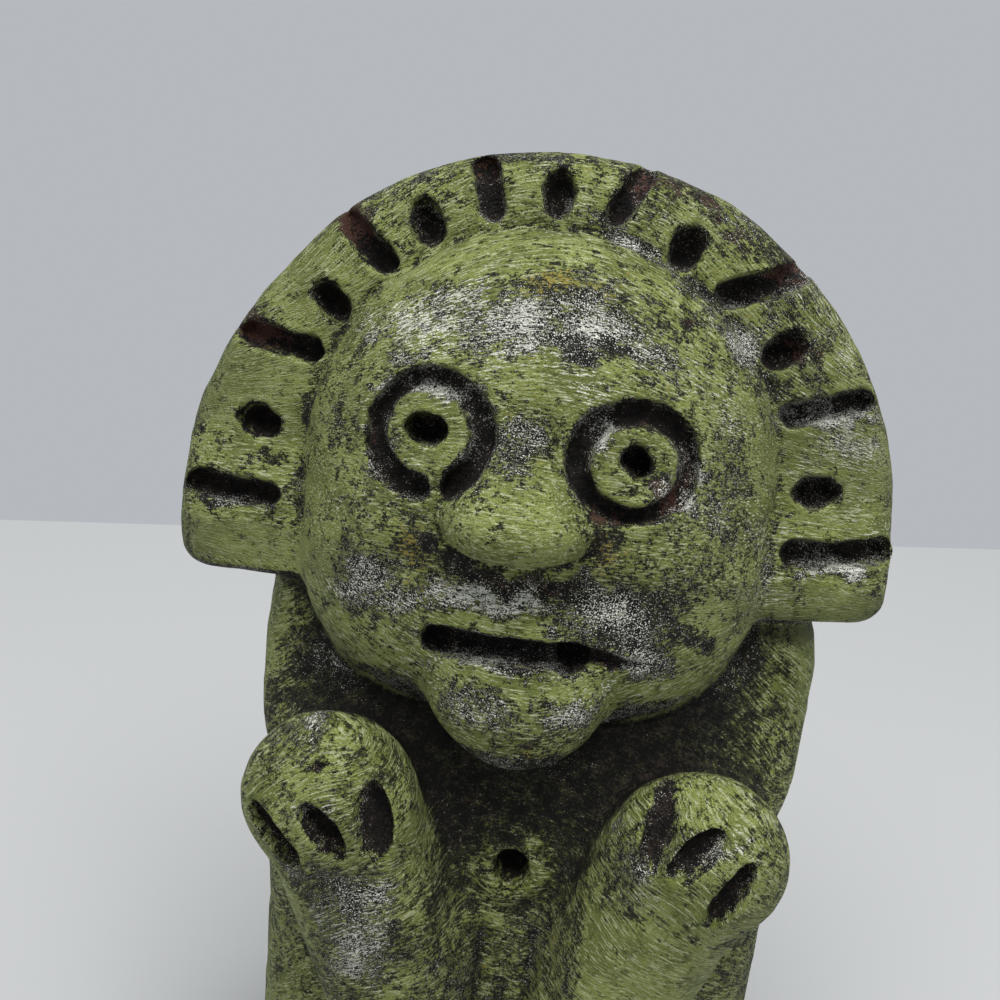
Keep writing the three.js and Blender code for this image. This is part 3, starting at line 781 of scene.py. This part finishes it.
# Strokes of the brush and the thumb run across the face, bowed over the forehead and under the jaw.
bow = np.interp(up, [-20, -8, -4, 6, 14, 24], [-0.8, -0.7, 0, 0, 0.7, 1.2])
runs = np.stack([across, up + bow * across**2 / 50, out], 1)
on_body = np.stack([points[:, 0], points[:, 2] + points[:, 0] ** 2 / 60, points[:, 1] * 0.3], 1)
on_body = on_body + 1.3 * np.stack([clouds(points, 5, seed) for seed in (13, 14, 15)], 1)
runs = head_share * runs + (1 - head_share) * on_body

# The fired figure: the skin as one mesh that carries the shares of paint, the distance to the marks
# and the way the strokes run, thinned to what the viewing model may have.
most_triangles = 195000
mesh = bpy.data.meshes.new("figurine_clay")
mesh.from_pydata((points * unit).tolist(), [], quads.tolist())
named = {"green": shares[:, 0], "white": shares[:, 1], "rust": shares[:, 2], "ochre": shares[:, 3]}
named |= {"gap": mark_gap, "body": 1 - head_share[:, 0]}
for name, values in named.items():
    mesh.attributes.new(name, "FLOAT", "POINT").data.foreach_set("value", values.astype(np.float32))
strokes = mesh.attributes.new("strokes", "FLOAT_VECTOR", "POINT")
strokes.data.foreach_set("vector", runs.astype(np.float32).ravel())
figurine = bpy.data.objects.new("figurine_clay", mesh)
bpy.context.scene.collection.objects.link(figurine)
thin = figurine.modifiers.new("thin", "DECIMATE")
thin.ratio = min(1.0, most_triangles / (2 * len(quads)))
thinned = figurine.evaluated_get(bpy.context.evaluated_depsgraph_get())
figurine_mesh = bpy.data.meshes.new_from_object(thinned)
figurine.modifiers.clear()
figurine.data = figurine_mesh
bpy.data.meshes.remove(mesh)
figurine_mesh.name = "figurine_clay"
figurine_mesh.shade_smooth()

# The layers on the figure, from the fired clay outwards: black and brown clay with rust-brown earth,
# the white ground in specks, a thin olive film, the green paint laid on with a brush, with ochre stains
# and pale streaks that are partly paint and partly painted highlight, and rubbed white and dark specks
# on top, the dark specks partly painted shade in small pits. The deep holes are darkened further as
# painted shade. Grain is finer than the skin's faces, so the material works it out.
paint = bpy.data.materials.new("painted_clay")
paint.use_nodes = True
tree = paint.node_tree
shader = tree.nodes["Principled BSDF"]


class Wire:
    """A socket of the material. Its operators add the node that works them out, and every other node
    comes from its method out_of."""

    def __init__(self, socket):
        self.socket = socket

    @classmethod
    def out_of(cls, kind, settings, inputs, output=0):
        """A new node's output: its settings are set first, then each input is linked or filled."""
        node = tree.nodes.new(kind)
        for name, value in settings.items():
            setattr(node, name, value)
        for name, value in inputs.items():
            if isinstance(value, cls):
                tree.links.new(value.socket, node.inputs[name])
            else:
                node.inputs[name].default_value = value
        return cls(node.outputs[output])

    def math(self, kind, other, first=False):
        a, b = (other, self) if first else (self, other)
        return Wire.out_of("ShaderNodeMath", {"operation": kind}, {0: a, 1: b})

    def __add__(self, other):
        return self.math("ADD", other)

    def __sub__(self, other):
        return self.math("SUBTRACT", other)

    def __rsub__(self, other):
        return self.math("SUBTRACT", other, True)

    def __mul__(self, other):
        return self.math("MULTIPLY", other)

    __radd__, __rmul__ = __add__, __mul__


def stored(name, output="Fac"):
    """What was worked out at each point of the skin under that name."""
    return Wire.out_of("ShaderNodeAttribute", {"attribute_name": name}, {}, output)


def scaled(vector, shares, shift=(0, 0, 0)):
    """The vector times the shares, plus the shift."""
    settings = {"operation": "MULTIPLY_ADD"}
    return Wire.out_of("ShaderNodeVectorMath", settings, {0: vector, 1: shares, 2: shift})


def noise(where, scale, detail, rough):
    """Soft noise about a half, with that many grains to a millimetre where it isn't stretched."""
    inputs = {"Vector": where, "Scale": scale, "Detail": detail, "Roughness": rough}
    return Wire.out_of("ShaderNodeTexNoise", {}, inputs, "Fac")


def rising(value, low, high):
    """0 below low, 1 above high and a smooth step between."""
    inputs = {"Value": value, "From Min": low, "From Max": high}
    return Wire.out_of("ShaderNodeMapRange", {"interpolation_type": "SMOOTHSTEP"}, inputs)


def covered(grain, share, soft, slope=0.3):
    """0 to 1 where the grain plus slope times the share passes 0.5 + slope / 2, over an edge that
    soft on both sides."""
    middle = 0.5 + slope / 2
    return rising(grain + slope * share, middle - soft, middle + soft)


def mixed(share, below, above):
    """The colour above over the colour below, by the share."""
    colours = {6: below, 7: above}
    colours = {k: v if isinstance(v, Wire) else (*v, 1) for k, v in colours.items()}
    return Wire.out_of("ShaderNodeMix", {"data_type": "RGBA"}, {0: share, **colours}, 2)


here = scaled(Wire.out_of("ShaderNodeTexCoord", {}, {}, "Object"), (1000, 1000, 1000))
along = stored("strokes", "Vector")
speck = noise(here, 6.2, 1.5, 0.6)
salt = noise(scaled(here, (1, 1, 1), (31, 7, 11)), 7.2, 1, 0.5)
grit = noise(scaled(here, (1, 1, 1), (13, 2, 41)), 3.2, 2, 0.6)
streak = noise(scaled(along, (0.8, 3.4, 2.2)), 1.0, 3, 0.65)
dash = noise(scaled(along, (1.8, 6.2, 4.0), (5, 9, 2)), 1.0, 1.5, 0.6)
line = noise(scaled(along, (0.45, 5.4, 3.4), (2, 23, 8)), 1.0, 2, 0.6)
mottle = noise(here, 0.75, 3, 0.65)
wide = noise(scaled(here, (1, 1, 1), (3, 17, 5)), 0.2, 2, 0.5)

black_clay = (0.0070, 0.0062, 0.0055)
brown_clay = (0.036, 0.026, 0.019)
dry_earth = (0.080, 0.040, 0.026)
packed_earth = (0.088, 0.040, 0.028)
dusty_white = (0.18, 0.185, 0.15)
clean_white = (0.90, 0.90, 0.80)
olive_film = (0.038, 0.043, 0.018)
thin_green = (0.066, 0.079, 0.022)
thick_green = (0.130, 0.153, 0.040)
dull_green = (0.165, 0.196, 0.048)
bright_green = (0.262, 0.300, 0.084)
stroke_and_highlight_green = (0.46, 0.485, 0.27)
ochre_stain = (0.30, 0.245, 0.055)
rubbed_white = (0.82, 0.82, 0.71)
pit_shade_black = (0.012, 0.012, 0.007)
hole_shade_black = (0.006, 0.0055, 0.006)

green, white, body = stored("green"), stored("white"), stored("body")
in_mark = rising(stored("gap") + 0.9 * (speck - 0.5) + 1.7 * (mottle - 0.5), 0.05, -0.12)
# deep_mark: 1 well inside a mark's edge, where the holes are darkened below as painted shade.
deep_mark = rising(stored("gap"), -0.2, -0.9)
brown = rising(0.6 * mottle + 0.4 * grit + 0.06 * in_mark, 0.46, 0.66)
colour = mixed(brown, black_clay, brown_clay)
rust = covered(0.4 * mottle + 0.6 * grit, stored("rust") * 0.95, 0.06)
colour = mixed(rust, colour, mixed(in_mark, dry_earth, packed_earth))

# Less white ground in the marks, and less still in the deep holes, where it is part of the painted
# shade.
in_hole = 0.06 * in_mark + 0.12 * deep_mark
chalk = covered(0.6 * salt + 0.2 * dash + 0.2 * mottle, white - 0.02 - in_hole, 0.022, 0.26)
chalk_colour = mixed(rising(0.5 * salt + 0.5 * grit, 0.44, 0.58), dusty_white, clean_white)
colour = mixed(chalk * 0.95, colour, chalk_colour)

ground = 0.32 * streak + 0.22 * grit + 0.18 * speck + 0.28 * mottle
share = green * (1 - in_mark) - 0.6 * in_mark
film = covered(ground, share + 0.22 + 0.08 * body, 0.05, 0.25)
colour = mixed(film * 0.7, colour, olive_film)
cover = covered(ground, share, 0.022 + 0.022 * body, 0.25)
thick = rising(green + 0.9 * (mottle - 0.5), 0.55, 0.80)
leaf = mixed(rising(wide, 0.42, 0.58), dull_green, bright_green)
thin_coat = mixed(thick, thin_green, thick_green)
leaf = mixed(rising(0.4 * streak + 0.25 * speck + 0.35 * mottle, 0.42, 0.51), thin_coat, leaf)
# Pale green streaks along the strokes: partly pale paint, partly painted highlight on the lit ridges of
# the strokes.
stroke_and_highlight = rising(0.5 * line + 0.3 * dash + 0.2 * streak, 0.515, 0.575)
leaf = mixed(stroke_and_highlight * 0.9, leaf, stroke_and_highlight_green)
ochre = covered(0.4 * mottle + 0.6 * grit, stored("ochre") * 0.75, 0.06)
leaf = mixed(ochre, leaf, ochre_stain)
colour = mixed(cover, colour, leaf)

rubbing = 0.3 * line + 0.2 * salt + 0.3 * dash + 0.2 * streak
rubbed = covered(rubbing, white * (1 - in_mark) - 0.17, 0.02)
colour = mixed(rubbed * 0.9, colour, rubbed_white)
# Dark specks in small pits, which are also pressed into the bump below: partly the dark clay in the
# pits, partly painted shade in them.
shaded_pit = rising(0.4 * dash + 0.3 * grit + 0.3 * mottle + 0.05 * thick, 0.435, 0.405)
colour = mixed(shaded_pit * 0.9, colour, pit_shade_black)
# The floors of the deep holes darkened towards black: the bare dark clay there, deepened with painted
# shade, less where rust-brown earth lies.
colour = mixed(deep_mark * (0.5 - 0.5 * rust), colour, hole_shade_black)
tree.links.new(colour.socket, shader.inputs["Base Color"])
rough = 0.66 + 0.12 * chalk - 0.08 * cover
tree.links.new(rough.socket, shader.inputs["Roughness"])
shader.inputs["Specular IOR Level"].default_value = 0.2
relief = 0.5 * cover + 0.3 * chalk - 0.7 * shaded_pit + 0.6 * speck + 1.2 * streak + 0.8 * grit
raised = {"Height": relief, "Strength": 1.0, "Distance": 0.0004}
bump = Wire.out_of("ShaderNodeBump", {}, raised, "Normal")
tree.links.new(bump.socket, shader.inputs["Normal"])
figurine_mesh.materials.append(paint)
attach(figurine, "root")
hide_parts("figurine")

# The stage: a pale table that ends behind the figure, an even room with one soft square light above,
# and the camera where the photograph's was.
floor_mesh = bpy.data.meshes.new("table")
table_corners = [(-0.9, -0.6, 0), (0.9, -0.6, 0), (0.9, 0.374, 0), (-0.9, -0.017, 0)]
floor_mesh.from_pydata(table_corners, [], [(0, 1, 2, 3)])
floor = bpy.data.objects.new("table", floor_mesh)
bpy.context.scene.collection.objects.link(floor)
table_paint = bpy.data.materials.new("pale_table")
table_paint.use_nodes = True
table_shader = table_paint.node_tree.nodes["Principled BSDF"]
table_shader.inputs["Base Color"].default_value = (0.50, 0.505, 0.50, 1)
table_shader.inputs["Roughness"].default_value = 0.7
floor_mesh.materials.append(table_paint)

world = bpy.data.worlds.new("room")
bpy.context.scene.world = world
world.use_nodes = True
room = world.node_tree.nodes["Background"]
room.inputs["Color"].default_value = (0.62, 0.65, 0.69, 1)
room.inputs["Strength"].default_value = 0.75


def stood(thing, axes, place):
    """Puts the thing in the scene at a place, with its own x, y and z along the three axes."""
    bpy.context.scene.collection.objects.link(thing)
    rows = [[*(axis[i] for axis in axes), place[i]] for i in range(3)]
    thing.matrix_world = Matrix(rows + [[0, 0, 0, 1]])


def softbox(name, place, aim, size, power):
    """A square light of that size and power at a place, turned to the point it lights."""
    lamp = bpy.data.lights.new(name, "AREA")
    lamp.size = size
    lamp.energy = power
    back = np.array(place, float) - np.array(aim, float)
    back /= np.linalg.norm(back)
    side = np.cross([0.0, 1.0, 0.001], back)
    side /= np.linalg.norm(side)
    stood(bpy.data.objects.new(name, lamp), (side, np.cross(back, side), back), place)


softbox("ceiling", place=(0.03, -0.13, 0.62), aim=(0, 0, 0.08), size=0.5, power=4.2)

# The camera looks down by lift and from the side by swing, is rolled by roll_angle, and stands a
# little left of and above the line to the head.
camera_distance = 0.165
camera_left, camera_above = 0.0042553, 0.0021277
lift, swing, roll_angle = np.radians((22, 4, 5))
back = np.array([np.sin(swing) * np.cos(lift), -np.cos(swing) * np.cos(lift), np.sin(lift)])
flat_right = np.cross([0.0, 0.0, 1.0], back)
flat_right /= np.linalg.norm(flat_right)
flat_up = np.cross(back, flat_right)
right = np.cos(roll_angle) * flat_right + np.sin(roll_angle) * flat_up
upward = np.cos(roll_angle) * flat_up - np.sin(roll_angle) * flat_right
aim = from_head(np.array(0.0), np.array(0.0), np.array(6.0)) * unit
seat = aim + back * camera_distance - right * camera_left + upward * camera_above
lens = bpy.data.cameras.new("camera")
lens.sensor_width = 36
lens.lens = 55.836
camera = bpy.data.objects.new("camera", lens)
stood(camera, (right, upward, back), seat)
bpy.context.scene.camera = camera
bpy.context.scene.view_settings.view_transform = "Standard"
